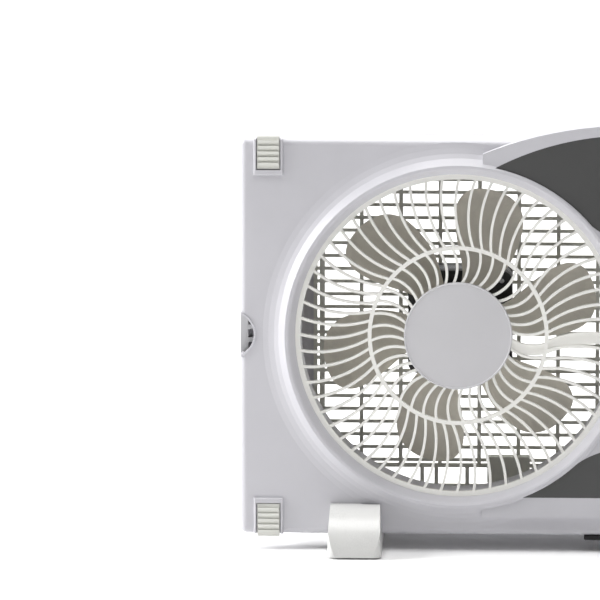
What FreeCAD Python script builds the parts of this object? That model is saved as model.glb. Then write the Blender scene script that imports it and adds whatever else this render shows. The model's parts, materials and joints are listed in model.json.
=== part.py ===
import FreeCAD, Part
import math
import os
import re
from types import SimpleNamespace

import Sketcher
from FreeCAD import Placement, Rotation, Vector

# A twin window fan: two impellers side by side in one shallow case that stands on two feet
# or sits in a window. X is to the right seen from the front, the front faces -Y, Z is up,
# and the floor is Z = 0. "Depth" is the distance behind the flat front face.

SIZES = {
    # case
    "body_width": 594.0,
    "body_height": 305.0,
    "floor_gap": 12.5,
    "fan_rise": 154.0,
    "face_wall": 3.0,
    "overcut": 1.0,
    "weld": 0.5,
    "plate_corner": 2.0,
    "shell_wall": 2.5,
    "flange_depth": 19.0,
    "corner_radius": 5.0,
    "back_depth": 112.0,
    "bulge_side_inset": 38.0,
    "bulge_end_inset": 9.0,
    "bulge_radius": 12.0,
    "vent_count": 5,
    "vent_pitch": 9.0,
    "vent_start": 67.0,
    "vent_width": 4.0,
    "vent_height": 1.4,
    "vent_length": 44.0,
    # raised rings and the plateau between them
    "fan_offset": 130.5,
    "opening_radius": 124.3,
    "ring_height": 8.0,
    "ring_lip": 5.7,
    "ring_crest": 2.0,
    "ring_slope": 17.0,
    "collar_depth": 26.0,
    "plateau_height": 6.0,
    "plateau_half_width": 112.0,
    "plateau_drop": 139.0,
    "hump_height": 12.0,
    "hump_half_width": 83.0,
    # dark trim panels
    "trim_thickness": 2.0,
    "trim_gap": 2.5,
    "upper_tip_half": 103.4,
    "upper_arc_radius": 220.0,
    "upper_arc_top": 155.5,
    "upper_nose_radius": 45.0,
    "lower_nose_radius": 70.0,
    "lower_edge_drop": 123.6,
    # front grille
    "inner_ribs": 40,
    "outer_ribs": 60,
    "rib_width": 2.0,
    "rib_depth": 3.5,
    "grille_depth": 1.0,
    "disc_radius": 41.3,
    "disc_thickness": 3.0,
    "mid_ring_radius": 67.5,
    "mid_ring_width": 3.0,
    "edge_ring_width": 3.9,
    "arm_width": 8.0,
    "arm_recess": 1.0,
    "disc_proud": 1.8,
    "disc_overhang": 0.5,
    # impeller and its shaft
    "blade_count": 6,
    "blade_tip": 107.5,
    "blade_sheet": 1.8,
    "blade_overrun": 5.0,
    "root_half_chord": 22.0,
    "root_half_rise": 9.0,
    "tip_half_chord": 54.0,
    "tip_half_rise": 12.0,
    "blade_phase": 19.0,
    "hub_radius": 30.0,
    "hub_depth": 42.0,
    "hub_length": 22.0,
    "hub_round": 4.0,
    "shaft_radius": 3.15,
    "running_clearance": 0.05,
    "nut_radius": 9.0,
    "nut_length": 8.0,
    "nut_cap": 2.0,
    "shaft_end_gap": 1.5,
    # motor
    "motor_depth": 68.0,
    "motor_side": 80.0,
    "cover_length": 11.0,
    "cover_wall": 2.5,
    "stack_length": 16.0,
    "rotor_radius": 20.0,
    "air_gap": 0.6,
    "coil_inner": 23.0,
    "coil_outer": 34.0,
    "coil_length": 8.0,
    "cover_recess": 36.0,
    "boss_radius": 12.0,
    "bearing_radius": 8.0,
    "bearing_length": 5.0,
    "motor_screw_offset": 32.0,
    "screw_radius": 2.0,
    "screw_head_radius": 3.5,
    "screw_head_length": 2.2,
    "head_clearance": 0.5,
    # rear grille
    "window_height": 258.0,
    "window_low": 137.0,
    "window_inner_edge": 14.0,
    "window_outer_edge": 245.0,
    "bar_pitch": 10.0,
    "bar_width": 2.5,
    "bar_depth": 3.5,
    "post_pitch": 30.5,
    "post_width": 3.0,
    "post_offset": 16.3,
    "edge_post_width": 4.0,
    "border_width": 3.0,
    "border_drop": 119.4,
    "mount_plate": 3.0,
    "plate_lap": 1.0,
    # terminal cover on each rear grille
    "cover_plate_width": 33.0,
    "cover_plate_height": 21.0,
    "cover_plate_depth": 12.0,
    "cover_plate_x": 37.3,
    "cover_plate_drop": 121.0,
    # side extender panels
    "extender_width": 42.0,
    "extender_height": 280.0,
    "extender_thickness": 5.0,
    "extender_depth": 12.0,
    "extender_slot": 6.5,
    "extender_pitch": 10.0,
    "extender_border": 6.0,
    "slide_clearance": 0.5,
    "notch_half_chord": 15.75,
    "notch_depth": 10.7,
    "notch_rim": 1.6,
    # corner locks
    "lock_side_gap": 10.7,
    "lock_frame_width": 22.4,
    "lock_frame_height": 28.0,
    "lock_frame_proud": 2.2,
    "lock_frame_round": 1.0,
    "lock_width": 17.0,
    "lock_height": 25.0,
    "lock_thickness": 3.0,
    "lock_proud": 1.8,
    "lock_front": 1.2,
    "lock_clearance": 0.8,
    "lock_ridges": 5,
    "lock_ridge_pitch": 4.3,
    "lock_ridge_height": 2.2,
    "lock_ridge_proud": 1.4,
    # controls
    "button_count": 3,
    "button_width": 20.0,
    "button_height": 8.0,
    "button_pitch": 14.0,
    "button_low": 98.0,
    "button_proud": 1.6,
    "button_length": 12.0,
    "button_clearance": 0.4,
    "lamp_count": 5,
    "lamp_radius": 1.5,
    "lamp_pitch": 8.0,
    "lamp_rise": 141.0,
    "board_width": 70.0,
    "board_height": 44.0,
    "board_depth": 9.0,
    "board_thickness": 1.6,
    "board_low": 93.0,
    "standoff_radius": 3.0,
    "standoff_inset": 5.0,
    "capacitor_width": 38.0,
    "capacitor_height": 26.0,
    "capacitor_thickness": 18.0,
    "capacitor_depth": 60.0,
    # cord outlet in the back wall
    "gland_bore": 4.0,
    "gland_radius": 6.5,
    "gland_flange": 9.0,
    "gland_length": 12.0,
    "gland_inside": 9.0,
    "gland_drop": 100.0,
    # feet
    "foot_offset": 208.5,
    "foot_width": 41.5,
    "foot_top_width": 38.0,
    "foot_corner": 7.0,
    "foot_relief": 0.4,
    "foot_front": 40.0,
    "foot_length": 155.0,
    "foot_rise": 24.0,
    "pad_thickness": 1.5,
    "pad_width": 30.0,
    "pad_length": 15.0,
    "pad_inset": 12.0,
    "foot_screw_depth": 10.0,
    # sill pad under the middle
    "sill_pad_width": 68.0,
    "sill_pad_length": 17.0,
    "sill_pad_thickness": 3.5,
    # case screws
    "case_screw_inner": 60.0,
    "case_screw_outer": 235.0,
    "case_screw_edge": 5.0,
    "case_screw_radius": 1.5,
    "case_boss_radius": 3.5,
    "case_screw_head": 2.8,
}

doc = FreeCAD.newDocument("twin_window_fan")
sheet = doc.addObject("Spreadsheet::Sheet", "Sizes")
for row, (alias, number) in enumerate(SIZES.items(), start=1):
    sheet.set(f"A{row}", alias)
    sheet.set(f"B{row}", str(number))
    sheet.setAlias(f"B{row}", alias)
ruler = doc.addObject("Spreadsheet::Sheet", "Ruler")
doc.recompute()
v = SimpleNamespace(**{alias: float(sheet.get(alias)) for alias in SIZES})

SIDES = {"left": -1, "right": 1}
ENDS = {"top": 1, "bottom": -1}
CENTRE_Z = "(floor_gap + fan_rise)"
FACE_Y = "(foot_front - foot_length / 2)"
BACKWARD = Rotation(Vector(1, 0, 0), -90)

face_y = v.foot_front - v.foot_length / 2
centre_z = v.floor_gap + v.fan_rise
body_top = v.floor_gap + v.body_height

# Where a vertex or an edge counts as lying on a plane.
NEAR = 0.01

# The ring's outer slope: (share of its width, share of its drop), steepest next to the crest.
RING_FLARE = ((0.12, 0.22), (0.3, 0.55), (0.5, 0.78), (0.75, 0.93))

# Angles of a rib at its start, middle and end, in degrees.
INNER_RIB = (-2.9, -8.1, -4.9)
OUTER_RIB = (-3.8, 1.45, -0.4)
INNER_ARM = (-7.5, -11.2, -8.2)
OUTER_ARM = (-8.2, -1.4, -1.2)

# A blade's outline: (share of the way from hub to tip, angle in degrees).
BLADE_RIM = ((-0.04, -24), (0.24, -29), (0.42, -28), (0.66, -24), (0.84, -19.5), (0.93, -15), (0.99, -8),
             (1.0, 0), (0.965, 7.5), (0.85, 12), (0.7, 13.5), (0.34, 11), (0.12, 8), (-0.04, 5))

# The short posts below the rear grille's sill, outwards from the fan's axis.
DROP_POSTS = (-29, -5, 19, 30)

nodes = []


# ---- small builders -------------------------------------------------------------------

def formula(text):
    """Point each alias in a formula at the sheet."""
    def address(word):
        return f"Sizes.{word.group()}" if word.group() in SIZES else word.group()

    return re.sub(r"[a-z_]+", address, text)


def bind(item, **sizes):
    for name, text in sizes.items():
        item.setExpression(name, formula(text))


def put(item, x, depth, z):
    """Bind an object's place to the sheet, with depth counted back from the front face."""
    for axis, text in (("x", x), ("y", f"{FACE_Y} + {depth}"), ("z", z)):
        item.setExpression(f"Placement.Base.{axis}", formula(text))
    return item


def box(name, width, thick, height, x, depth, z):
    """A block whose lowest corner is at x, depth, z."""
    item = doc.addObject("Part::Box", name)
    bind(item, Length=width, Width=thick, Height=height)
    return put(item, x, depth, z)


def rod(name, radius, length, x, depth, z):
    """A cylinder that runs straight back from the given depth."""
    item = doc.addObject("Part::Cylinder", name)
    item.Placement = Placement(Vector(), BACKWARD)
    bind(item, Radius=radius, Height=length)
    return put(item, x, depth, z)


def fuse(name, items):
    item = doc.addObject("Part::MultiFuse", name)
    item.Shapes = items
    return item


def group(name, items):
    item = doc.addObject("Part::Compound", name)
    item.Links = items
    return item


def common(name, items):
    item = doc.addObject("Part::MultiCommon", name)
    item.Shapes = items
    return item


def cut(name, base, tools):
    item = doc.addObject("Part::Cut", name)
    item.Base = base
    item.Tool = tools[0] if len(tools) == 1 else fuse(f"{name}_tools", tools)
    return item


def runs_back(edge):
    start, end = edge.Vertexes[0].Point, edge.Vertexes[-1].Point
    return abs(start.x - end.x) < 0.01 and abs(start.z - end.z) < 0.01


def rounded(name, base, radius, wanted):
    """Round every edge of a block that the wanted test picks."""
    doc.recompute()
    item = doc.addObject("Part::Fillet", name)
    item.Base = base
    edges = enumerate(base.Shape.Edges, start=1)
    item.Edges = [(index, radius, radius) for index, edge in edges if wanted(edge)]
    return item


def role(body, name):
    return next(plane for plane in body.Origin.OriginFeatures if plane.Role == name)


def sketch_on(body, plane, name):
    sketch = body.newObject("Sketcher::SketchObject", name)
    sketch.AttachmentSupport = (role(body, plane), [""])
    sketch.MapMode = "FlatFace"
    return sketch


def outline(sketch, points):
    """Draw a closed outline whose corners are bound to the sheet as (x, y) formulas."""
    numbers = [[measure(text) for text in point] for point in points]
    count = len(points)
    for index in range(count):
        start = Vector(*numbers[index], 0)
        end = Vector(*numbers[(index + 1) % count], 0)
        sketch.addGeometry(Part.LineSegment(start, end), False)
    for index in range(count):
        sketch.addConstraint(Sketcher.Constraint("Coincident", index, 2, (index + 1) % count, 1))
    for index, point in enumerate(points):
        for kind, text, number, axis in zip(("DistanceX", "DistanceY"), point, numbers[index], (-2, -1)):
            if abs(number) < 1e-9:
                sketch.addConstraint(Sketcher.Constraint("PointOnObject", index, 1, axis))
                continue
            place = sketch.addConstraint(Sketcher.Constraint(kind, -1, 1, index, 1, number))
            sketch.setExpression(f"Constraints[{place}]", formula(text))


def measure(text):
    """The present value of a formula, worked out in a cell of its own."""
    ruler.set("A1", f"={formula(text)}")
    ruler.recompute()
    return float(ruler.get("A1"))


def turned(name, profile, x, depth, z):
    """A body of revolution about a line that runs back: profile is (radius, depth) corners."""
    body = doc.addObject("PartDesign::Body", name)
    sketch = sketch_on(body, "XY_Plane", f"{name}_profile")
    outline(sketch, profile)
    turn = body.newObject("PartDesign::Revolution", f"{name}_turn")
    turn.Profile = sketch
    turn.ReferenceAxis = (sketch, ["V_Axis"])
    turn.Angle = 360
    body.Tip = turn
    return put(body, x, depth, z)


def tube(name, outer, inner, length, x, depth, z):
    profile = [(inner, "0"), (outer, "0"), (outer, length), (inner, length)]
    return turned(name, profile, x, depth, z)


def slab(name, width, height, thick, x, depth, z, radius=None):
    """An upright plate, drawn as a rectangle on the front plane and padded back."""
    body = doc.addObject("PartDesign::Body", name)
    sketch = sketch_on(body, "XZ_Plane", f"{name}_outline")
    outline(sketch, [("0", "0"), (width, "0"), (width, height), ("0", height)])
    pad = body.newObject("PartDesign::Pad", f"{name}_pad")
    pad.Profile = sketch
    pad.setExpression("Length", formula(thick))
    pad.Reversed = True
    body.Tip = pad
    if radius:
        doc.recompute()
        edges = [f"Edge{i}" for i, edge in enumerate(pad.Shape.Edges, start=1) if runs_back(edge)]
        fillet = body.newObject("PartDesign::Fillet", f"{name}_corners")
        fillet.Base = (pad, edges)
        fillet.setExpression("Radius", formula(radius))
        body.Tip = fillet
    return put(body, x, depth, z)


def shaped(name, shape, x=0.0, depth=0.0, z=0.0):
    """A sub-part whose shape comes from Part's own functions."""
    item = doc.addObject("Part::Feature", name)
    item.Shape = shape
    item.Placement = Placement(Vector(x, face_y + depth, z), Rotation())
    return item


def keep(item, label):
    item.Label = label
    nodes.append(item)
    return item


def fan_x(side):
    return f"({SIDES[side]} * fan_offset)"


# ---- front case -----------------------------------------------------------------------

def front_block():
    block = box("face_block", "body_width", "flange_depth", "body_height", "-body_width / 2", "0",
                "floor_gap")

    def front_or_corner(edge):
        return runs_back(edge) or max(vertex.Y for vertex in edge.Vertexes) < face_y + NEAR

    solid = rounded("face_rounded", block, v.corner_radius, front_or_corner)
    hollow = box("face_hollow", "body_width - 2 * shell_wall", "flange_depth",
                 "body_height - 2 * shell_wall",
                 "-body_width / 2 + shell_wall", "face_wall", "floor_gap + shell_wall")
    return cut("face_shell", solid, [hollow])


def raised_ring(side):
    """A flared ring round an opening; behind it a step that the grille rests on, and a collar."""
    lip = "opening_radius + ring_lip"
    crest = f"{lip} + ring_crest"
    foot = f"{crest} + ring_slope"
    collar = "opening_radius - edge_ring_width"
    seat = "ring_height + grille_depth + rib_depth"
    profile = [(collar, "ring_height + collar_depth"),
               (collar, seat),
               ("opening_radius", seat),
               ("opening_radius", "ring_height"),
               (f"{lip} - 0.25 * ring_lip", "0.12 * ring_height"),
               (lip, "0"),
               (crest, "0"),
               *[(f"{crest} + {across} * ring_slope", f"{drop} * ring_height") for across,
                 drop in RING_FLARE],
               (foot, "ring_height"),
               (foot, "ring_height + face_wall"),
               ("opening_radius + shell_wall", "ring_height + face_wall"),
               ("opening_radius + shell_wall", f"{seat} + shell_wall"),
               (f"{collar} + shell_wall", f"{seat} + shell_wall"),
               (f"{collar} + shell_wall", "ring_height + collar_depth")]
    return turned(f"ring_{side}", profile, fan_x(side), "-ring_height", CENTRE_Z)


HUMP_RADIUS = "((hump_half_width * hump_half_width + hump_height * hump_height) / (2 * hump_height))"


def hump_arch(name):
    return rod(name, HUMP_RADIUS, "plateau_height + flange_depth", "0", "-plateau_height",
               f"floor_gap + body_height + hump_height - {HUMP_RADIUS}")


def plateau():
    """The raised middle: its top follows the hump's arc down to the rings."""
    block = box("plateau_block", "2 * plateau_half_width", "plateau_height + face_wall",
                "plateau_drop + body_height - fan_rise + hump_height", "-plateau_half_width",
                "-plateau_height",
                f"{CENTRE_Z} - plateau_drop")
    arched = common("plateau_arched", [block, hump_arch("plateau_arch")])
    rings = [rod(f"plateau_gap_{side}", "opening_radius + ring_lip + ring_crest",
                 "2 * plateau_height + 2 * face_wall",
                 fan_x(side), "-2 * plateau_height", CENTRE_Z) for side in SIDES]
    return cut("plateau", arched, rings)


def hump():
    keeper = box("hump_keeper", "2 * hump_half_width", "plateau_height + flange_depth",
                 "hump_height + shell_wall",
                 "-hump_half_width", "-plateau_height", "floor_gap + body_height - shell_wall")
    return common("hump", [hump_arch("hump_arch"), keeper])


def lock_x(side):
    return f"({SIDES[side]} * (body_width / 2 - lock_side_gap - lock_frame_width / 2))"


def lock_low(end, height, beyond):
    """The lowest Z of something that reaches a distance past the case's top or bottom edge."""
    if end == "top":
        return f"floor_gap + body_height + {beyond} - {height}"
    return f"floor_gap - {beyond}"


def lock_frames():
    frames = []
    for side in SIDES:
        for end in ENDS:
            block = box(f"lock_frame_block_{side}_{end}", "lock_frame_width",
                        "lock_frame_proud + face_wall",
                        "lock_frame_height", f"{lock_x(side)} - lock_frame_width / 2",
                        "-lock_frame_proud", lock_low(end, "lock_frame_height", "0"))
            frames.append(rounded(f"lock_frame_{side}_{end}", block, v.lock_frame_round,
                                  lambda edge: max(vertex.Y for vertex in edge.Vertexes) < face_y - NEAR))
    return frames


def lock_channels():
    """Each channel is open at the case's edge and leaves the slider its clearance all round."""
    channels = []
    for side in SIDES:
        for end in ENDS:
            channels.append(box(f"lock_channel_{side}_{end}", "lock_width + 2 * lock_clearance",
                                "lock_frame_proud + lock_thickness - lock_front + lock_clearance + overcut",
                                "lock_height + lock_clearance + corner_radius",
                                f"{lock_x(side)} - lock_width / 2 - lock_clearance",
                                "-lock_frame_proud - overcut",
                                lock_low(end, "(lock_height + lock_clearance + corner_radius)",
                                         "(lock_proud + corner_radius)")))
    return channels


def notch_radius():
    return "((notch_half_chord * notch_half_chord + notch_depth * notch_depth) / (2 * notch_depth))"


def notch_x(side):
    return f"({SIDES[side]} * (body_width / 2 - notch_depth + {notch_radius()}))"


def notch_rims():
    rims = []
    for side in SIDES:
        rim = rod(f"notch_rim_rod_{side}", f"{notch_radius()} + notch_rim", "face_wall + notch_rim / 2",
                  notch_x(side),
                  "-notch_rim / 2", CENTRE_Z)
        left = "-body_width / 2 + overcut" if side == "left" else "body_width / 2 - overcut - 2 * notch_depth"
        keeper = box(f"notch_rim_keeper_{side}", "2 * notch_depth", "2 * face_wall", "4 * notch_half_chord",
                     left,
                     "-face_wall", f"{CENTRE_Z} - 2 * notch_half_chord")
        rims.append(common(f"notch_rim_{side}", [rim, keeper]))
    return rims


def panel_rails():
    """Ribs above and below each extender panel that guide it."""
    rails = []
    for side in SIDES:
        outer = "body_width / 2 - shell_wall"
        left = f"-({outer})" if side == "left" else f"{outer} - extender_width"
        for end, low in (("top", "extender_height / 2 + slide_clearance"),
                         ("bottom", "-extender_height / 2 - slide_clearance - shell_wall")):
            rails.append(box(f"rail_{side}_{end}", "extender_width", "flange_depth - face_wall",
                             "shell_wall", left,
                             "face_wall", f"{CENTRE_Z} + {low}"))
    return rails


def case_screw_places():
    for side in SIDES:
        for column in ("inner", "outer"):
            for end, sign in ENDS.items():
                x = f"({SIDES[side]} * case_screw_{column})"
                z = f"(floor_gap + body_height / 2 + {sign} * (body_height / 2 - case_screw_edge))"
                yield f"{side}_{column}_{end}", x, z


def button_z(index):
    return f"({CENTRE_Z} + button_low + {index} * button_pitch)"


def lamp_x(index):
    return f"({index} - (lamp_count - 1) / 2) * lamp_pitch"


TRIM_CLEAR = "(opening_radius + ring_lip + trim_gap)"


def trim_shape(name, which, front, thick):
    """The outline shared by a dark trim panel and its recess: it follows both rings at an
    even gap and ends in a round nose that is tangent to them."""
    sign = {"upper": "", "lower": "-"}[which]
    nose = f"{which}_nose_radius"
    nose_z = f"{sign}sqrt(({TRIM_CLEAR} + {nose}) * ({TRIM_CLEAR} + {nose}) - fan_offset * fan_offset)"
    shoulder = f"({nose_z}) * {TRIM_CLEAR} / ({TRIM_CLEAR} + {nose})"
    if which == "upper":
        low, high = shoulder, "upper_arc_top"
        nose_low, nose_tall = f"{nose_z} - {nose}", f"{shoulder} - ({nose_z}) + {nose}"
    else:
        low, high = "-lower_edge_drop", shoulder
        nose_low, nose_tall = shoulder, f"{nose_z} + {nose} - ({shoulder})"
    strip = box(f"{name}_strip", "2 * upper_tip_half", thick, f"{high} - ({low})", "-upper_tip_half", front,
                f"{CENTRE_Z} + {low}")
    if which == "upper":
        arch = rod(f"{name}_arch", "upper_arc_radius", thick, "0", front,
                   f"{CENTRE_Z} + upper_arc_top - upper_arc_radius")
        strip = common(f"{name}_arched", [strip, arch])
    rings = [rod(f"{name}_ring_{side}", TRIM_CLEAR, thick, fan_x(side), front, CENTRE_Z) for side in SIDES]
    wings = cut(f"{name}_wings", strip, rings)
    nose_rod = rod(f"{name}_nose_rod", nose, thick, "0", front, f"{CENTRE_Z} + {nose_z}")
    nose_keeper = box(f"{name}_nose_keeper", f"2 * {nose}", thick, nose_tall, f"-{nose}", front,
                      f"{CENTRE_Z} + {nose_low}")
    return fuse(name, [wings, common(f"{name}_nose", [nose_rod, nose_keeper])])


def button_hole(name, clearance):
    holes = []
    for index in range(int(v.button_count)):
        holes.append(box(f"{name}_{index}", f"button_width + 2 * {clearance}",
                         "plateau_height + 3 * face_wall",
                         f"button_height + 2 * {clearance}", f"-button_width / 2 - {clearance}",
                         "-plateau_height - face_wall",
                         f"{button_z(index)} - button_height / 2 - {clearance}"))
    return holes


def lamp_rods(name, extra):
    """The lamps' own lenses, or the holes for them when they start further forward."""
    return [rod(f"{name}_{index}", "lamp_radius", f"plateau_height + face_wall + {extra}", lamp_x(index),
                f"-plateau_height - {extra}",
                f"{CENTRE_Z} + lamp_rise") for index in range(int(v.lamp_count))]


def make_trim(which):
    plate = trim_shape(f"{which}_trim_plate", which, "-plateau_height", "trim_thickness")
    if which == "lower":
        return keep(plate, "lower_trim_panel")
    tools = button_hole("trim_button_hole", "button_clearance") + lamp_rods("trim_lamp_hole", "overcut")
    return keep(cut("upper_trim_cut", plate, tools), "upper_trim_panel")


def board_standoffs():
    posts = []
    for side, sign in SIDES.items():
        for row, rise in (("low", "standoff_inset"), ("high", "board_height - standoff_inset")):
            posts.append(rod(f"standoff_{side}_{row}", "standoff_radius", "board_depth - face_wall + weld",
                             f"{sign} * (board_width / 2 - standoff_inset)", "face_wall - weld",
                             f"{CENTRE_Z} + board_low + {rise}"))
    return posts


def foot_screw_places():
    for side in SIDES:
        for index, sign in enumerate((-1, 1)):
            x = f"({SIDES[side]} * foot_offset + {sign} * foot_width / 4)"
            yield f"{side}_{index}", x


def make_front_case():
    bosses = [rod(f"case_boss_{name}", "case_boss_radius", "flange_depth - face_wall / 2", x,
                  "face_wall / 2", z)
              for name, x, z in case_screw_places()]
    rings = [raised_ring(side) for side in SIDES]
    solid = fuse("front_case_solid", [front_block(), plateau(), hump()] + rings
                 + lock_frames() + notch_rims() + panel_rails() + board_standoffs() + bosses)
    tools = [rod(f"opening_{side}", "opening_radius", "2 * ring_height + face_wall", fan_x(side),
                 "-2 * ring_height",
                 CENTRE_Z) for side in SIDES]
    tools += [trim_shape(f"{which}_trim_recess", which, "-plateau_height - overcut",
                         "trim_thickness + overcut")
              for which in ("upper", "lower")]
    tools += button_hole("case_button_hole", "button_clearance") + lamp_rods("case_lamp_hole", "overcut")
    tools += lock_channels()
    for side in SIDES:
        tools.append(rod(f"notch_{side}", notch_radius(),
                         "extender_depth - slide_clearance + 2 * face_wall",
                         notch_x(side), "-2 * face_wall", CENTRE_Z))
        left = "-body_width / 2 - shell_wall" if side == "left" else "body_width / 2 - 2 * shell_wall"
        tools.append(box(f"extender_slot_{side}", "3 * shell_wall",
                         "extender_thickness + 2 * slide_clearance",
                         "extender_height + 2 * slide_clearance", left, "extender_depth - slide_clearance",
                         f"{CENTRE_Z} - extender_height / 2 - slide_clearance"))
    tools += [rod(f"case_screw_hole_{name}", "case_screw_radius", "flange_depth - 2 * face_wall", x,
                  "2 * face_wall", z)
              for name, x, z in case_screw_places()]
    tools += [post(f"case_foot_hole_{name}", "screw_radius", "3 * shell_wall", x, "foot_screw_depth",
                   "floor_gap - shell_wall") for name, x in foot_screw_places()]
    keep(cut("front_case_cut", solid, tools), "front_housing")


# ---- rear case ------------------------------------------------------------------------

def make_rear_case():
    plate = slab("rear_flange", "body_width", "body_height", "shell_wall", "-body_width / 2",
                 "flange_depth",
                 "floor_gap", "corner_radius")
    block = box("bulge_block", "body_width - 2 * bulge_side_inset", "back_depth - flange_depth",
                "body_height - 2 * bulge_end_inset", "-body_width / 2 + bulge_side_inset", "flange_depth",
                "floor_gap + bulge_end_inset")

    def back_or_corner(edge):
        return runs_back(edge) or min(vertex.Y for vertex in edge.Vertexes) > face_y + v.back_depth - NEAR

    bulge = rounded("bulge_rounded", block, v.bulge_radius, back_or_corner)
    vents = []
    for side in SIDES:
        for index in range(int(v.vent_count)):
            x = f"{SIDES[side]} * (body_width / 2 - vent_start - {index} * vent_pitch) - vent_width / 2"
            vents.append(box(f"vent_{side}_{index}", "vent_width", "vent_length", "vent_height + weld", x,
                             "flange_depth + shell_wall",
                             "floor_gap + body_height - bulge_end_inset - weld"))
    inner_wide = "body_width - 2 * bulge_side_inset - 2 * shell_wall"
    hollow = box("bulge_hollow", inner_wide, "back_depth - flange_depth - shell_wall + overcut",
                 "body_height - 2 * bulge_end_inset - 2 * shell_wall", f"-({inner_wide}) / 2",
                 "flange_depth - overcut",
                 "floor_gap + bulge_end_inset + shell_wall")

    def hollow_edge(edge):
        back = face_y + v.back_depth - v.shell_wall
        return runs_back(edge) or min(vertex.Y for vertex in edge.Vertexes) > back - NEAR

    round_hollow = rounded("bulge_hollow_rounded", hollow, v.bulge_radius - v.shell_wall, hollow_edge)
    tools = [round_hollow]
    for side in SIDES:
        left = "-window_outer_edge" if side == "left" else "window_inner_edge"
        tools.append(box(f"window_{side}", "window_outer_edge - window_inner_edge", "4 * shell_wall",
                         "window_height",
                         left, "back_depth - 2 * shell_wall", f"{CENTRE_Z} - window_low"))
    tools.append(rod("gland_hole", "gland_radius", "4 * shell_wall", "0", "back_depth - 2 * shell_wall",
                     f"{CENTRE_Z} - gland_drop"))
    tools += [rod(f"rear_screw_hole_{name}", "case_screw_radius", "3 * shell_wall", x,
                  "flange_depth - shell_wall", z)
              for name, x, z in case_screw_places()]
    keep(cut("rear_case_cut", fuse("rear_case_solid", [plate, bulge] + vents), tools), "rear_housing")


def make_rear_grille(side):
    """One moulding: border, bars, posts and the plate that carries the motor."""
    sign = SIDES[side]
    front = "back_depth - bar_depth"
    low = f"{CENTRE_Z} - window_low"
    left = "-window_outer_edge" if side == "left" else "window_inner_edge"
    wide = "(window_outer_edge - window_inner_edge)"
    frame = box(f"grille_frame_{side}", wide, "bar_depth", "window_height", left, front, low)
    gap = box(f"grille_gap_{side}", f"{wide} - 2 * border_width", "2 * bar_depth",
              "window_height - 2 * border_width",
              f"{left} + border_width", f"{front} - bar_depth / 2", f"{low} + border_width")
    pieces = [cut(f"grille_border_{side}", frame, [gap])]
    pieces.append(box(f"grille_sill_{side}", wide, "bar_depth", "border_width", left, front,
                      f"{CENTRE_Z} - border_drop - border_width / 2"))
    first = math.ceil((-v.border_drop + v.border_width) / v.bar_pitch - 0.5)
    last = math.floor((v.window_height - v.window_low - v.border_width - v.bar_width) / v.bar_pitch - 0.5)
    for index in range(first, last + 1):
        pieces.append(box(f"bar_{side}_{index - first}", wide, "bar_depth - plate_lap", "bar_width", left,
                          front,
                          f"{CENTRE_Z} + ({index} + 0.5) * bar_pitch - bar_width / 2"))
    inner_reach = v.fan_offset - v.window_inner_edge - 2 * v.post_width
    first = math.ceil((v.post_offset - inner_reach) / v.post_pitch) - 1
    last = math.floor((v.window_outer_edge - v.fan_offset - v.post_offset) / v.post_pitch)
    upright = "window_height - window_low + border_drop"
    for index in range(first, last + 1):
        thick = "edge_post_width" if index == last else "post_width"
        x = f"{fan_x(side)} + {sign} * (post_offset + {index} * post_pitch) - {thick} / 2"
        pieces.append(box(f"post_{side}_{index - first}", thick, "bar_depth", upright, x, front,
                          f"{CENTRE_Z} - border_drop"))
    for index, offset in enumerate(DROP_POSTS):
        x = f"{fan_x(side)} + {sign} * {offset} - post_width / 2"
        pieces.append(box(f"drop_post_{side}_{index}", "post_width", "bar_depth",
                          "window_low - border_drop", x, front,
                          low))
    pieces.append(box(f"mount_plate_{side}", "motor_side", f"{front} + plate_lap - {MOTOR_BACK}",
                      "motor_side",
                      f"{fan_x(side)} - motor_side / 2", MOTOR_BACK, f"{CENTRE_Z} - motor_side / 2"))
    tools = []
    for name, x, z in motor_screw_places(side):
        tools.append(rod(f"plate_hole_{name}", "screw_radius", "3 * bar_depth", x, MOTOR_BACK, z))
        tools.append(rod(f"head_hole_{name}", "screw_head_radius + head_clearance", "2 * bar_depth", x,
                         f"{MOTOR_BACK} + mount_plate", z))
    keep(cut(f"rear_grille_cut_{side}", fuse(f"rear_grille_solid_{side}", pieces), tools),
         f"rear_grille_{side}")


def make_terminal_cover(side):
    x = f"{fan_x(side)} - {SIDES[side]} * cover_plate_x - cover_plate_width / 2"
    keep(slab(f"terminal_{side}", "cover_plate_width", "cover_plate_height", "cover_plate_depth", x,
              "back_depth - bar_depth - cover_plate_depth",
              f"{CENTRE_Z} - cover_plate_drop - cover_plate_height / 2",
              "plate_corner"), f"terminal_cover_{side}")


# ---- front grille ---------------------------------------------------------------------

def polar(radius, degrees):
    """A point in the front plane, with angles counterclockwise seen from the front."""
    angle = math.radians(degrees)
    return Vector(radius * math.cos(angle), 0, radius * math.sin(angle))


def curved_rib(start, middle, end, width, depth):
    """A bar of even width that follows the arc through three points."""
    centre = Part.Circle(start, middle, end).Center
    sides = []
    for shift in (-width / 2, width / 2):
        sides.append([centre + (point - centre) * (1 + shift / (point - centre).Length)
                      for point in (start, middle, end)])
    inner, outer = sides
    edges = [Part.Arc(*inner).toShape(), Part.LineSegment(inner[2], outer[2]).toShape(),
             Part.Arc(*outer).toShape(), Part.LineSegment(outer[0], inner[0]).toShape()]
    wire = Part.Wire(Part.__sortEdges__(edges))
    return Part.Face(wire).extrude(Vector(0, depth, 0))


def flat_ring(outer, inner, depth):
    backward = Vector(0, 1, 0)
    return (Part.makeCylinder(outer, depth, Vector(), backward)
            .cut(Part.makeCylinder(inner, depth, Vector(), backward)))


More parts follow.
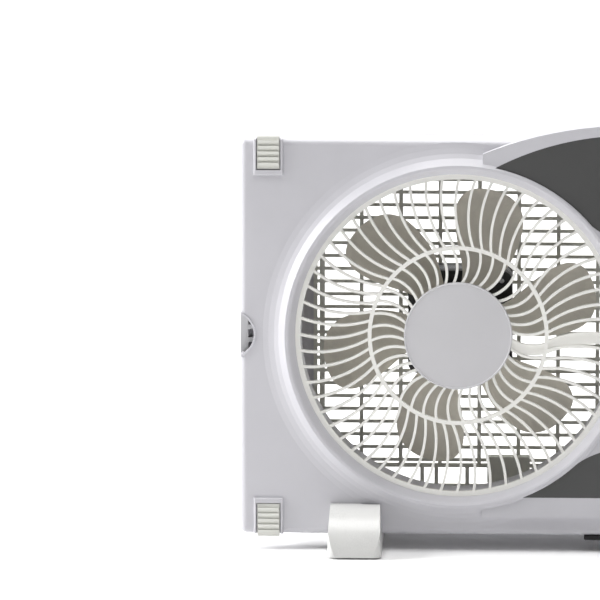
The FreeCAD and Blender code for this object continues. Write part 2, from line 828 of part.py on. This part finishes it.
def swirl_grille():
    """Two rows of swirling ribs held by three rings."""
    hub_outer = v.disc_radius - v.disc_overhang
    hub_ring = hub_outer - v.mid_ring_width / 2
    edge_ring = v.opening_radius - v.edge_ring_width / 2
    inner_mid = (v.disc_radius + v.mid_ring_radius) / 2
    outer_mid = (v.mid_ring_radius + v.opening_radius) / 2
    inner_radii = (hub_ring, inner_mid, v.mid_ring_radius)
    outer_radii = (v.mid_ring_radius, outer_mid, edge_ring)
    inner_rib = curved_rib(*map(polar, inner_radii, INNER_RIB), v.rib_width, v.rib_depth)
    outer_rib = curved_rib(*map(polar, outer_radii, OUTER_RIB), v.rib_width, v.rib_depth)
    ribs = []
    for rib, count in ((inner_rib, int(v.inner_ribs)), (outer_rib, int(v.outer_ribs))):
        for index in range(count):
            turned_rib = rib.copy()
            turned_rib.rotate(Vector(), Vector(0, -1, 0), 360 / count * index)
            ribs.append(turned_rib)
    for radii, angles in ((inner_radii, INNER_ARM), (outer_radii, OUTER_ARM)):
        arm = curved_rib(*map(polar, radii, angles), v.arm_width, v.rib_depth - v.arm_recess)
        arm.translate(Vector(0, v.arm_recess, 0))
        ribs.append(arm)
    half = v.mid_ring_width / 2
    rings = [flat_ring(outer, inner, v.rib_depth) for outer, inner in (
        (hub_outer, hub_outer - v.mid_ring_width), (v.mid_ring_radius + half, v.mid_ring_radius - half),
        (v.opening_radius, v.opening_radius - v.edge_ring_width))]
    return rings[0].multiFuse(rings[1:] + ribs).Solids[0]


def make_grille_disc(side):
    """A cap over the hub ring, with a low rounded rim and a spigot inside the ring."""
    spigot = "(disc_radius - disc_overhang - mid_ring_width)"
    rim = "0.3 * disc_proud"
    back = "disc_proud + disc_thickness"
    profile = [("0", rim), ("disc_radius - 3 * disc_overhang", rim), ("disc_radius - 2 * disc_overhang", "0"),
               ("disc_radius - disc_overhang", "0"), ("disc_radius", rim), ("disc_radius", "disc_proud"),
               (spigot, "disc_proud"), (spigot, back), ("0", back)]
    keep(turned(f"disc_{side}", profile, fan_x(side), "grille_depth - disc_proud", CENTRE_Z),
         f"grille_disc_{side}")


# ---- impeller and motor ---------------------------------------------------------------

MOTOR_BACK = "(motor_depth + 2 * cover_length + stack_length)"


def blade():
    """A twisted sheet trimmed to a broad paddle with a round tip, root inside the hub."""
    def section(radius, half_chord, half_rise):
        start = Vector(radius, half_rise, -half_chord)
        end = Vector(radius, -half_rise, half_chord)
        return Part.LineSegment(start, end).toShape()

    hub = v.hub_radius
    tip = v.blade_tip
    root_section = section(hub - v.blade_overrun, v.root_half_chord, v.root_half_rise)
    tip_section = section(tip + v.blade_overrun, v.tip_half_chord, v.tip_half_rise)
    twisted = Part.makeRuledSurface(root_section, tip_section).extrude(Vector(0, v.blade_sheet, 0))
    curve = Part.BSplineCurve()
    curve.interpolate([polar(hub + share * (tip - hub), angle) for share, angle in BLADE_RIM],
                      PeriodicFlag=True)
    deep = 5 * v.tip_half_rise
    prism = Part.Face(Part.Wire(curve.toShape())).extrude(Vector(0, deep, 0))
    prism.translate(Vector(0, -deep / 2, 0))
    return twisted.common(prism)


def impeller():
    """Six blades round a hub whose bore holds the shaft."""
    backward = Vector(0, 1, 0)
    start = Vector(0, -v.hub_length / 2, 0)
    hub = Part.makeCylinder(v.hub_radius, v.hub_length, start, backward)
    hub = hub.makeFillet(v.hub_round, [edge for edge in hub.Edges if edge.BoundBox.YMax < start.y + NEAR])
    blades = []
    for index in range(int(v.blade_count)):
        piece = blade()
        piece.rotate(Vector(), Vector(0, -1, 0), v.blade_phase + 360 / v.blade_count * index)
        blades.append(piece)
    bore = Part.makeCylinder(v.shaft_radius, 2 * v.hub_length, Vector(0, -v.hub_length, 0), backward)
    return hub.multiFuse(blades).cut(bore).Solids[0]


def motor_screw_places(side):
    for row in (-1, 1):
        for column in (-1, 1):
            name = f"{side}_{row + 1}_{column + 1}"
            yield (name, f"({fan_x(side)} + {column} * motor_screw_offset)",
                   f"({CENTRE_Z} + {row} * motor_screw_offset)")


def make_motor_block(name, side, thick, depth):
    return slab(name, "motor_side", "motor_side", thick, f"{fan_x(side)} - motor_side / 2", depth,
                f"{CENTRE_Z} - motor_side / 2", "motor_side / 2 - motor_screw_offset")


def motor_holes(name, side, thick, depth):
    return [rod(f"{name}_{place}", "screw_radius", f"3 * {thick}", x, f"{depth} - {thick}", z)
            for place, x, z in motor_screw_places(side)]


def make_motor(side):
    x = fan_x(side)
    back = "(motor_depth + cover_length + stack_length)"
    covers = {"front": ("motor_depth", "motor_depth", "motor_depth + cover_wall"),
              "rear": (back, f"({MOTOR_BACK} - bearing_length)", back)}
    for end, (depth, bearing_depth, recess_depth) in covers.items():
        name = f"motor_{end}_{side}"
        block = make_motor_block(f"{name}_block", side, "cover_length", depth)
        recess = tube(f"{name}_recess", "cover_recess", "boss_radius", "cover_length - cover_wall", x,
                      recess_depth,
                      CENTRE_Z)
        seat = rod(f"{name}_seat", "bearing_radius", "bearing_length", x, bearing_depth, CENTRE_Z)
        through = rod(f"{name}_through", "(bearing_radius + shaft_radius) / 2", "3 * cover_length", x,
                      f"{depth} - cover_length", CENTRE_Z)
        tools = [recess, seat, through] + motor_holes(f"{name}_hole", side, "cover_length", depth)
        keep(cut(f"{name}_cut", block, tools), f"motor_{end}_cover_{side}")
        keep(tube(f"{name}_bearing", "bearing_radius", "shaft_radius + running_clearance", "bearing_length",
                  x,
                  bearing_depth, CENTRE_Z), f"motor_{end}_bearing_{side}")
    stack = make_motor_block(f"stack_{side}_block", side, "stack_length", "motor_depth + cover_length")
    bore = rod(f"stack_{side}_bore", "rotor_radius + air_gap", "3 * stack_length", x,
               "motor_depth + cover_length - stack_length", CENTRE_Z)
    keep(cut(f"stack_{side}_cut", stack, [bore] + motor_holes(f"stack_{side}_hole", side, "stack_length",
                                                              "(motor_depth + cover_length)")),
         f"motor_stator_{side}")
    coils = [tube(f"coil_{side}_front", "coil_outer", "coil_inner", "coil_length", x,
                  "motor_depth + cover_length - coil_length", CENTRE_Z),
             tube(f"coil_{side}_rear", "coil_outer", "coil_inner", "coil_length", x, back, CENTRE_Z)]
    keep(group(f"coils_{side}", coils), f"motor_coils_{side}")
    keep(tube(f"rotor_{side}", "rotor_radius", "shaft_radius", "stack_length - 2 * air_gap", x,
              "motor_depth + cover_length + air_gap", CENTRE_Z), f"motor_rotor_{side}")
    shaft_start = "(hub_depth - nut_length + nut_cap)"
    keep(rod(f"shaft_{side}", "shaft_radius", f"{MOTOR_BACK} - shaft_end_gap - {shaft_start}", x,
             shaft_start, CENTRE_Z),
         f"motor_shaft_{side}")
    nut_profile = [("0", "0"), ("nut_radius - nut_cap", "0"), ("nut_radius", "nut_cap"),
                   ("nut_radius", "nut_length"), ("shaft_radius", "nut_length"), ("shaft_radius",
                                                                                  "nut_cap"),
                   ("0", "nut_cap")]
    keep(turned(f"nut_{side}", nut_profile, x, "hub_depth - nut_length", CENTRE_Z), f"impeller_nut_{side}")
    bolts = []
    for name, bolt_x, bolt_z in motor_screw_places(side):
        head = rod(f"bolt_head_{name}", "screw_head_radius", "screw_head_length", bolt_x,
                   f"{MOTOR_BACK} + mount_plate", bolt_z)
        shank = rod(f"bolt_shank_{name}", "screw_radius",
                    f"{MOTOR_BACK} + mount_plate - motor_depth - cover_wall",
                    bolt_x, "motor_depth + cover_wall", bolt_z)
        bolts.append(fuse(f"bolt_{name}", [shank, head]))
    keep(group(f"bolts_{side}", bolts), f"motor_bolts_{side}")


# ---- sliding pieces and controls ------------------------------------------------------

def make_extender(side):
    """A louvred panel that slides out of the case's side to close a wider window."""
    left = "-body_width / 2" if side == "left" else "body_width / 2 - extender_width"
    body = slab(f"extender_{side}", "extender_width", "extender_height", "extender_thickness", left,
                "extender_depth",
                f"{CENTRE_Z} - extender_height / 2")
    sketch = sketch_on(body, "XZ_Plane", f"extender_{side}_slot_outline")
    corners = [("extender_border", "extender_border"), ("extender_width - extender_border",
                                                        "extender_border"),
               ("extender_width - extender_border", "extender_border + extender_slot"),
               ("extender_border", "extender_border + extender_slot")]
    outline(sketch, corners)
    slot = body.newObject("PartDesign::Pocket", f"extender_{side}_slot")
    slot.Profile = sketch
    slot.Type = "ThroughAll"
    slot.Midplane = True
    doc.recompute()
    pattern = body.newObject("PartDesign::LinearPattern", f"extender_{side}_slots")
    pattern.Originals = [slot]
    pattern.Direction = (sketch, ["V_Axis"])
    pattern.Mode = "Spacing"
    pattern.setExpression("Offset", formula("extender_pitch"))
    run = "(extender_height - 2 * extender_border - extender_slot)"
    pattern.setExpression("Occurrences", formula(f"floor({run} / extender_pitch) + 1"))
    body.Tip = pattern
    keep(body, f"extender_panel_{side}")


def make_lock(side, end):
    low = lock_low(end, "lock_height", "lock_proud")
    blocks = [box(f"lock_{side}_{end}_plate", "lock_width", "lock_thickness", "lock_height",
                  f"{lock_x(side)} - lock_width / 2", "-lock_front", low)]
    for index in range(int(v.lock_ridges)):
        middle = f"{low} + lock_height / 2 + ({index} - (lock_ridges - 1) / 2) * lock_ridge_pitch"
        blocks.append(box(f"lock_{side}_{end}_ridge_{index}", "lock_width - 2 * weld",
                          "lock_ridge_proud + weld",
                          "lock_ridge_height", f"{lock_x(side)} - lock_width / 2 + weld",
                          "-lock_front - lock_ridge_proud", f"{middle} - lock_ridge_height / 2"))
    keep(fuse(f"lock_{side}_{end}", blocks), f"lock_slider_{end}_{side}")


def make_buttons():
    for index, name in enumerate(("mode", "speed", "power")):
        keep(slab(f"button_{name}_cap", "button_width", "button_height", "button_length",
                  "-button_width / 2",
                  "-plateau_height - button_proud", f"{button_z(index)} - button_height / 2",
                  "plate_corner"), f"{name}_button")


def make_electrics():
    keep(group("lamps", lamp_rods("lamp", "0.3")), "indicator_lenses")
    keep(slab("board", "board_width", "board_height", "board_thickness", "-board_width / 2", "board_depth",
              f"{CENTRE_Z} + board_low", "plate_corner"), "control_board")
    keep(slab("capacitor_can", "capacitor_width", "capacitor_height", "capacitor_thickness",
              "-capacitor_width / 2",
              "capacitor_depth", "floor_gap + bulge_end_inset + shell_wall", "plate_corner"),
              "run_capacitor")
    neck = "gland_radius"
    profile = [("gland_bore", "0"), (neck, "0"), (neck, "gland_inside"), ("gland_flange", "gland_inside"),
               ("gland_flange", "gland_length - weld"), ("gland_flange - weld", "gland_length"),
               ("gland_bore", "gland_length")]
    keep(turned("gland", profile, "0", "back_depth - gland_inside", f"{CENTRE_Z} - gland_drop"),
         "cord_gland")


# ---- feet and small fasteners ---------------------------------------------------------

def post(name, radius, length, x, depth, z):
    """An upright cylinder."""
    item = doc.addObject("Part::Cylinder", name)
    bind(item, Radius=radius, Height=length)
    return put(item, x, depth, z)


def make_foot(side):
    """A toe that swells forward below the case, and a flat runner under it."""
    x = f"({SIDES[side]} * foot_offset)"
    left = f"{x} - foot_width / 2"
    top = "(floor_gap + foot_rise)"
    swell = doc.addObject("Part::Cylinder", f"foot_{side}_swell_rod")
    swell.Placement = Placement(Vector(), Rotation(Vector(0, 1, 0), 90))
    bind(swell, Radius=top, Height="foot_width")
    put(swell, left, f"-foot_front + {top}", "0")
    keeper = box(f"foot_{side}_swell_keeper", "foot_width", "foot_front", f"{top} - pad_thickness", left,
                 "-foot_front",
                 "pad_thickness")
    round_toe = common(f"foot_{side}_toe", [swell, keeper])
    runner = box(f"foot_{side}_runner", "foot_width", "foot_length - foot_front / 2",
                 "floor_gap - pad_thickness",
                 left, "-foot_front / 2", "pad_thickness")
    side_shape = fuse(f"foot_{side}_side", [round_toe, runner])
    wedge = doc.addObject("Part::Wedge", f"foot_{side}_wedge")
    wedge.Placement = Placement(Vector(), Rotation(Vector(1, 0, 0), 90))
    bind(wedge, Xmin="-foot_width / 2", Xmax="foot_width / 2", X2min="-foot_top_width / 2",
         X2max="foot_top_width / 2",
         Ymin="0", Ymax=top, Zmin="0", Zmax="foot_length", Z2min="0", Z2max="foot_length")
    put(wedge, x, "foot_length - foot_front", "0")
    plan = rounded(f"foot_{side}_plan", wedge, v.foot_corner,
                   lambda edge: abs(edge.Vertexes[0].Z - edge.Vertexes[-1].Z) > v.pad_thickness)
    solid = common(f"foot_{side}_solid", [side_shape, plan])
    flare = "opening_radius + ring_lip + ring_crest + ring_slope + foot_relief"
    tools = [rod(f"foot_{side}_relief", flare, "ring_height / 2", fan_x(side), "-ring_height / 2",
                 CENTRE_Z)]
    for name, screw_x in foot_screw_places():
        if name.startswith(side):
            tools.append(post(f"foot_hole_{name}", "screw_radius", "2 * floor_gap", screw_x,
                              "foot_screw_depth", "0"))
            tools.append(post(f"foot_sink_{name}", "screw_head_radius", "2 * screw_head_length", screw_x,
                              "foot_screw_depth", "0"))
    keep(cut(f"foot_{side}_cut", solid, tools), f"foot_{side}")
    pads = []
    for place, depth in (("front", "-foot_front + pad_inset"),
                         ("back", "foot_length - foot_front - pad_inset - pad_length")):
        pads.append(box(f"foot_pad_{side}_{place}", "pad_width", "pad_length", "pad_thickness",
                        f"{x} - pad_width / 2",
                        depth, "0"))
    keep(group(f"foot_pads_{side}_pair", pads), f"foot_pads_{side}")


def make_fasteners():
    screws = []
    for name, x, z in case_screw_places():
        shank = rod(f"case_shank_{name}", "case_screw_radius", "flange_depth - face_wall", x,
                    "3 * face_wall", z)
        head = rod(f"case_head_{name}", "case_screw_head", "screw_head_length", x,
                   "flange_depth + shell_wall", z)
        screws.append(fuse(f"case_screw_{name}", [shank, head]))
    keep(group("case_screw_set", screws), "case_screws")
    screws = []
    for name, x in foot_screw_places():
        shank = post(f"foot_shank_{name}", "screw_radius",
                     "floor_gap + 2 * shell_wall - 1.5 * screw_head_length", x,
                     "foot_screw_depth", "2 * screw_head_length - weld")
        head = post(f"foot_head_{name}", "screw_head_radius", "screw_head_length", x, "foot_screw_depth",
                    "screw_head_length")
        screws.append(fuse(f"foot_screw_{name}", [shank, head]))
    keep(group("foot_screw_set", screws), "foot_screws")
    keep(slab("sill_rubber", "sill_pad_width", "sill_pad_thickness", "sill_pad_length",
              "-sill_pad_width / 2",
              "(flange_depth - sill_pad_length) / 2", "floor_gap - sill_pad_thickness",
              "sill_pad_thickness / 3"),
         "sill_pad")


# ---- the whole fan --------------------------------------------------------------------

make_front_case()
make_rear_case()
grille_shape = swirl_grille()
impeller_shape = impeller()
for panel in ("upper", "lower"):
    make_trim(panel)
for fan_side in SIDES:
    fan_middle = SIDES[fan_side] * v.fan_offset
    keep(shaped(f"grille_{fan_side}", grille_shape.copy(), fan_middle, v.grille_depth, centre_z),
         f"front_grille_{fan_side}")
    make_grille_disc(fan_side)
    make_rear_grille(fan_side)
    make_terminal_cover(fan_side)
    keep(shaped(f"impeller_{fan_side}_solid", impeller_shape.copy(), fan_middle,
                v.hub_depth + v.hub_length / 2,
                centre_z), f"impeller_{fan_side}")
    make_motor(fan_side)
    make_extender(fan_side)
    make_foot(fan_side)
    for lock_end in ENDS:
        make_lock(fan_side, lock_end)
make_buttons()
make_electrics()
make_fasteners()
doc.recompute()

for item in doc.Objects:
    if "Invalid" in item.State or "Error" in item.State:
        raise RuntimeError(f"{item.Name} failed: {item.State}")
for item in nodes:
    if item.Shape.isNull() or not item.Shape.isValid():
        raise RuntimeError(f"{item.Label} has no valid shape")

os.makedirs("parts", exist_ok=True)
for item in nodes:
    item.Shape.exportStep(os.path.join("parts", f"{item.Label}.step"))
    bounds = item.Shape.BoundBox
    print(f"{item.Label}: {len(item.Shape.Solids)} solid(s), volume {item.Shape.Volume / 1000:.2f} cm3, "
          f"x {bounds.XMin:.1f} {bounds.XMax:.1f}, y {bounds.YMin:.1f} {bounds.YMax:.1f}, "
          f"z {bounds.ZMin:.1f} {bounds.ZMax:.1f}")
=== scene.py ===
import json
import math

import bpy
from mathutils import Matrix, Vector

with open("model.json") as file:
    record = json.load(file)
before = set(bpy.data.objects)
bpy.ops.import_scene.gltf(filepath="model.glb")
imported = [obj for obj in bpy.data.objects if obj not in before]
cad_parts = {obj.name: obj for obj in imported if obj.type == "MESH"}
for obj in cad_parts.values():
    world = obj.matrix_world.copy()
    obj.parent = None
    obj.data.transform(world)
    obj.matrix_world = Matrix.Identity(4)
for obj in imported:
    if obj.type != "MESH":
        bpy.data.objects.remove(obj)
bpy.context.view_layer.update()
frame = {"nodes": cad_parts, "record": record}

# A twin window fan in light grey plastic with dark trim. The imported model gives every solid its
# place; this script adds the finishes, the backdrop, the lights and the camera.

NODES = frame["nodes"]
DISPLAY_MAX = 255

# The range that a noise texture mostly keeps to.
NOISE_LOW = 0.3
NOISE_HIGH = 0.7

# How far a bump reaches, in metres.
COARSE_BUMP = 0.0004
FINE_BUMP = 0.0003
FAINT_BUMP = 0.0002

# Places of a colour Mix node's sockets.
MIX_FACTOR = 0
MIX_FIRST = 6
MIX_SECOND = 7
MIX_RESULT = 2

# Bands per metre of a wave texture at scale 1, about 20 / (2 pi).
WAVE_BANDS = 3.2


# ---- material tools -------------------------------------------------------------------

def linear(red, green, blue):
    """An sRGB display colour as the linear colour that the shader wants."""
    def channel(value):
        value = value / DISPLAY_MAX
        return value / 12.92 if value <= 0.04045 else ((value + 0.055) / 1.055) ** 2.4

    return (channel(red), channel(green), channel(blue), 1.0)


def shade(colour, factor):
    """A colour made darker or lighter by a factor."""
    return (colour[0] * factor, colour[1] * factor, colour[2] * factor, 1.0)


class Finish:
    """A material and short ways to add and join its nodes."""

    def __init__(self, name):
        self.material = bpy.data.materials.new(name)
        self.material.use_nodes = True
        self.tree = self.material.node_tree
        self.shader = self.tree.nodes["Principled BSDF"]
        self.place = self.tree.nodes.new("ShaderNodeTexCoord").outputs["Object"]

    def node(self, kind, **sockets):
        made = self.tree.nodes.new(kind)
        for name, value in sockets.items():
            self.feed(made.inputs[name.replace("_", " ")], value)
        return made

    def feed(self, socket, value):
        if isinstance(value, bpy.types.NodeSocket):
            self.tree.links.new(value, socket)
        else:
            socket.default_value = value

    def noise(self, scale, detail=3.0, roughness=0.55, place=None):
        made = self.node("ShaderNodeTexNoise", Vector=place or self.place, Scale=scale,
                         Detail=detail, Roughness=roughness)
        return made.outputs["Fac"]

    def stretched(self, x, y, z):
        """Object coordinates scaled by axis, for grain that runs one way."""
        made = self.node("ShaderNodeMapping", Vector=self.place)
        made.inputs["Scale"].default_value = (x, y, z)
        return made.outputs["Vector"]

    def span(self, value, low, high, start=0.0, end=1.0):
        """Carry low..high of a value on to start..end."""
        made = self.node("ShaderNodeMapRange", Value=value)
        limits = {"From Min": low, "From Max": high, "To Min": start, "To Max": end}
        for name, number in limits.items():
            made.inputs[name].default_value = number
        return made.outputs["Result"]

    def swing(self, noise, start=0.0, end=1.0):
        """Carry a noise's usual range on to start..end."""
        return self.span(noise, NOISE_LOW, NOISE_HIGH, start, end)

    def mixed(self, factor, first, second):
        made = self.tree.nodes.new("ShaderNodeMix")
        made.data_type = "RGBA"
        self.feed(made.inputs[MIX_FACTOR], factor)
        self.feed(made.inputs[MIX_FIRST], first)
        self.feed(made.inputs[MIX_SECOND], second)
        return made.outputs[MIX_RESULT]

    def sums(self, kind, first, second):
        made = self.tree.nodes.new("ShaderNodeMath")
        made.operation = kind
        self.feed(made.inputs[0], first)
        self.feed(made.inputs[1], second)
        return made.outputs[0]

    def edges(self, low=0.52, high=0.60):
        """Rises on raised edges, where a moulding is rubbed."""
        made = self.tree.nodes.new("ShaderNodeNewGeometry")
        return self.span(made.outputs["Pointiness"], low, high)

    def bump(self, height, strength, distance):
        made = self.node("ShaderNodeBump", Height=height)
        made.inputs["Strength"].default_value = strength
        made.inputs["Distance"].default_value = distance
        return made.outputs["Normal"]

    def set(self, **sockets):
        for name, value in sockets.items():
            self.feed(self.shader.inputs[name.replace("_", " ")], value)
        return self.material


def moulded_plastic(name, colour, rough=0.42, grain=1400.0, bump=0.10, cloud=0.04, wear=0.10):
    """Injection-moulded plastic: fine spark-eroded grain, faint clouding and rubbed edges."""
    finish = Finish(name)
    spread = 0.05
    clouds = finish.noise(11.0, 4.0)
    tone = finish.mixed(finish.swing(clouds), shade(colour, 1 - cloud), shade(colour, 1 + cloud))
    tone = finish.mixed(finish.sums("MULTIPLY", finish.edges(), wear), tone, shade(colour, 1.25))
    speck = finish.noise(grain, 2.0)
    smear = finish.noise(34.0, 5.0, 0.65)
    roughness = finish.sums("ADD", finish.swing(smear, rough - spread, rough + spread),
                            finish.span(speck, 0.35, 0.65, -0.03, 0.03))
    return finish.set(Base_Color=tone, Roughness=roughness,
                      Normal=finish.bump(speck, bump, COARSE_BUMP))


def flow_plastic(name, colour):
    """Pale polypropylene with faint flow lines and a waxy sheen."""
    finish = Finish(name)
    rough = 0.35
    lines = finish.noise(70.0, 6.0, 0.7, finish.stretched(1.0, 5.0, 1.0))
    tone = finish.mixed(finish.swing(lines), shade(colour, 0.94), shade(colour, 1.07))
    rubbed = finish.sums("MULTIPLY", finish.edges(0.53, 0.62), 0.35)
    tone = finish.mixed(rubbed, tone, shade(colour, 1.5))
    speck = finish.noise(900.0, 2.0)
    roughness = finish.swing(lines, rough - 0.05, rough + 0.09)
    return finish.set(Base_Color=tone, Roughness=roughness,
                      Normal=finish.bump(speck, 0.05, FINE_BUMP))


def metal(name, colour, rough, brushed=(1.0, 1.0, 1.0), scale=220.0):
    """Bare or plated metal with a directional grain and dulled patches."""
    finish = Finish(name)
    grain = finish.noise(scale, 4.0, 0.6, finish.stretched(*brushed))
    patches = finish.noise(24.0, 5.0)
    tone = finish.mixed(finish.span(patches, 0.35, NOISE_HIGH), shade(colour, 0.86), shade(colour, 1.08))
    roughness = finish.sums("ADD", finish.swing(grain, rough - 0.08, rough + 0.08),
                            finish.swing(patches, -0.04, 0.06))
    return finish.set(Base_Color=tone, Roughness=roughness, Metallic=1.0,
                      Normal=finish.bump(grain, 0.12, FINE_BUMP))


def banded(name, colour, gap, pitch, rough):
    """Stacked sheets or turns of wire: dark lines at an even pitch from front to back."""
    finish = Finish(name)
    wave = finish.node("ShaderNodeTexWave", Vector=finish.stretched(0.0, 1.0, 0.0))
    wave.wave_type = "BANDS"
    wave.bands_direction = "Y"
    wave.inputs["Scale"].default_value = 1.0 / pitch / WAVE_BANDS
    wave.inputs["Distortion"].default_value = 0.15
    lines = wave.outputs["Fac"]
    patches = finish.noise(60.0, 4.0)
    tone = finish.mixed(finish.span(lines, 0.1, 0.5), gap, colour)
    tone = finish.mixed(finish.span(patches, 0.4, 0.8, 0.0, 0.3), tone, shade(colour, 0.6))
    return finish.set(Base_Color=tone, Roughness=finish.swing(patches, rough, rough + 0.15),
                      Metallic=1.0, Normal=finish.bump(lines, 0.5, FINE_BUMP))


def rubber(name, colour):
    """Matt rubber with a film of dust."""
    finish = Finish(name)
    speck = finish.noise(1100.0, 2.0)
    dust = finish.noise(40.0, 6.0, 0.7)
    tone = finish.mixed(finish.span(dust, 0.5, 0.8, 0.0, 0.4), colour, shade(colour, 3.0))
    return finish.set(Base_Color=tone, Roughness=finish.swing(dust, 0.72, 0.9),
                      Normal=finish.bump(speck, 0.25, COARSE_BUMP))


def circuit_board(name):
    """Green solder mask over raised copper tracks, with pale pads."""
    finish = Finish(name)
    tracks = finish.node("ShaderNodeTexVoronoi", Vector=finish.place, Scale=260.0)
    tracks.distance = "MANHATTAN"
    edge = finish.span(tracks.outputs["Distance"], 0.30, 0.36)
    pads = finish.node("ShaderNodeTexVoronoi", Vector=finish.place, Scale=190.0)
    pad = finish.span(pads.outputs["Distance"], 0.16, 0.12)
    mask = finish.mixed(edge, linear(20, 84, 44), linear(10, 52, 28))
    tone = finish.mixed(pad, mask, linear(190, 186, 170))
    return finish.set(Base_Color=tone, Roughness=finish.span(edge, 0.0, 1.0, 0.28, 0.4),
                      Normal=finish.bump(edge, 0.3, FAINT_BUMP))


def clear_lens(name, colour):
    """A smooth tinted indicator lens."""
    finish = Finish(name)
    speck = finish.noise(500.0, 2.0)
    tone = finish.mixed(finish.swing(speck), shade(colour, 0.85), shade(colour, 1.1))
    return finish.set(Base_Color=tone, Roughness=finish.swing(speck, 0.08, 0.16),
                      Normal=finish.bump(speck, 0.04, FAINT_BUMP))


FINISHES = {
    "case": moulded_plastic("case_plastic", linear(191, 190, 195), rough=0.40, bump=0.10),
    "grille": moulded_plastic("grille_plastic", linear(230, 229, 224), rough=0.36, bump=0.06,
                              wear=0.0),
    "trim": moulded_plastic("trim_plastic", linear(64, 64, 64), rough=0.40, bump=0.16, cloud=0.06,
                            wear=0.25),
    "disc": moulded_plastic("disc_plastic", linear(193, 192, 195), rough=0.38, grain=1700.0,
                            bump=0.08),
    "rear_grille": moulded_plastic("rear_grille_plastic", linear(210, 210, 201), rough=0.5,
                                   cloud=0.05),
    "blade": flow_plastic("blade_plastic", linear(206, 201, 188)),
    "motor_case": moulded_plastic("motor_paint", linear(30, 30, 31), rough=0.45, grain=600.0,
                                  bump=0.25, wear=0.5),
    "lamination": banded("lamination_steel", linear(150, 150, 152), linear(60, 60, 62), 0.0006,
                         0.35),
    "copper": banded("enamelled_copper", linear(196, 110, 62), linear(90, 44, 26), 0.0009, 0.22),
    "steel": metal("zinc_steel", linear(196, 197, 200), 0.28, brushed=(1.0, 6.0, 1.0)),
    "bronze": metal("sintered_bronze", linear(176, 138, 86), 0.42, scale=900.0),
    "foot": moulded_plastic("foot_plastic", linear(208, 208, 206), rough=0.30, grain=1800.0,
                            bump=0.05, wear=0.0),
    "rubber": rubber("black_rubber", linear(28, 28, 28)),
    "lock": moulded_plastic("lock_plastic", linear(214, 214, 208), rough=0.38, bump=0.07),
    "extender": moulded_plastic("extender_plastic", linear(196, 196, 198), rough=0.45),
    "button": moulded_plastic("button_plastic", linear(196, 197, 200), rough=0.33, bump=0.06),
    "lens": clear_lens("lamp_lens", linear(96, 176, 104)),
    "board": circuit_board("circuit_board"),
    "capacitor": moulded_plastic("capacitor_can", linear(226, 222, 206), rough=0.22, bump=0.04),
    "black_plastic": moulded_plastic("black_plastic", linear(44, 44, 43), rough=0.42, bump=0.2,
                                     wear=0.2),
}


def dress_nodes():
    """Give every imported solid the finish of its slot."""
    for row in frame["record"]["subparts"]:
        solid = NODES[row["node"]]
        solid.data.materials.clear()
        solid.data.materials.append(FINISHES[row["material_slot"]])


# ---- studio ---------------------------------------------------------------------------

def make_backdrop():
    """A white floor that curves up into a wall, far enough back to see the fan from behind."""
    half_width = 10.0
    front = -9.0
    bend = 1.2
    wall = 9.0
    height = 4.5
    steps = 16
    profile = [(front, 0.0), (wall - bend, 0.0)]
    for step in range(1, steps + 1):
        angle = math.pi / 2 * step / steps
        profile.append((wall - bend + bend * math.sin(angle), bend - bend * math.cos(angle)))
    profile.append((wall, height))
    mesh = bpy.data.meshes.new("backdrop")
    points = [(x, y, z) for y, z in profile for x in (-half_width, half_width)]
    corners = range(0, len(points) - 2, 2)
    faces = [(corner, corner + 1, corner + 3, corner + 2) for corner in corners]
    mesh.from_pydata(points, [], faces)
    for face in mesh.polygons:
        face.use_smooth = True
    backdrop = bpy.data.objects.new("backdrop", mesh)
    bpy.context.collection.objects.link(backdrop)
    finish = Finish("backdrop_paper")
    paper = finish.noise(3.0, 3.0)
    tone = finish.mixed(finish.swing(paper), linear(246, 246, 246), linear(250, 250, 250))
    mesh.materials.append(finish.set(Base_Color=tone, Roughness=0.95, Emission_Strength=0.03,
                                     Emission_Color=(1.0, 1.0, 1.0, 1.0)))


def area_light(name, place, target, size, watts):
    """A soft rectangular lamp at a place, turned towards a target."""
    data = bpy.data.lights.new(name, "AREA")
    data.shape = "RECTANGLE"
    data.size, data.size_y = size
    data.energy = watts
    light = bpy.data.objects.new(name, data)
    light.location = place
    light.rotation_euler = (Vector(target) - Vector(place)).to_track_quat("-Z", "Y").to_euler()
    bpy.context.collection.objects.link(light)


def make_lights():
    """Soft light from above and the left, with a wash on the floor behind."""
    ambient = 0.16
    world = bpy.data.worlds.new("studio")
    world.use_nodes = True
    background = world.node_tree.nodes["Background"]
    background.inputs["Color"].default_value = (1.0, 1.0, 1.0, 1.0)
    background.inputs["Strength"].default_value = ambient
    bpy.context.scene.world = world
    middle = (-0.1, 0.0, 0.17)
    area_light("overhead", (-0.2, 0.0, 2.2), middle, (2.4, 1.0), 51)
    area_light("left_bank", (-2.2, -0.1, 1.1), middle, (1.0, 1.4), 64)
    area_light("right_bank", (2.4, -0.5, 0.8), (0.1, 0.0, 0.17), (1.2, 1.6), 6)
    area_light("floor_wash", (0.0, 2.6, 2.6), (0.0, 2.8, 0.0), (5.0, 2.6), 130)


def make_camera():
    """A long lens in front of the fan's middle, turned towards its left half."""
    target = Vector((-0.251, -0.0375, 0.1935))
    distance = 6.0
    elevation = math.radians(8.9)
    spot = Vector((0.0, target.y - distance * math.cos(elevation),
                   target.z + distance * math.sin(elevation)))
    data = bpy.data.cameras.new("camera")
    data.sensor_width = 36.0
    data.lens = 473.0
    data.clip_end = 100.0
    camera = bpy.data.objects.new("camera", data)
    camera.location = spot
    camera.rotation_euler = (target - spot).to_track_quat("-Z", "Y").to_euler()
    bpy.context.collection.objects.link(camera)
    bpy.context.scene.camera = camera


bpy.context.scene.view_settings.view_transform = "Standard"
make_camera()
make_backdrop()
make_lights()
dress_nodes()
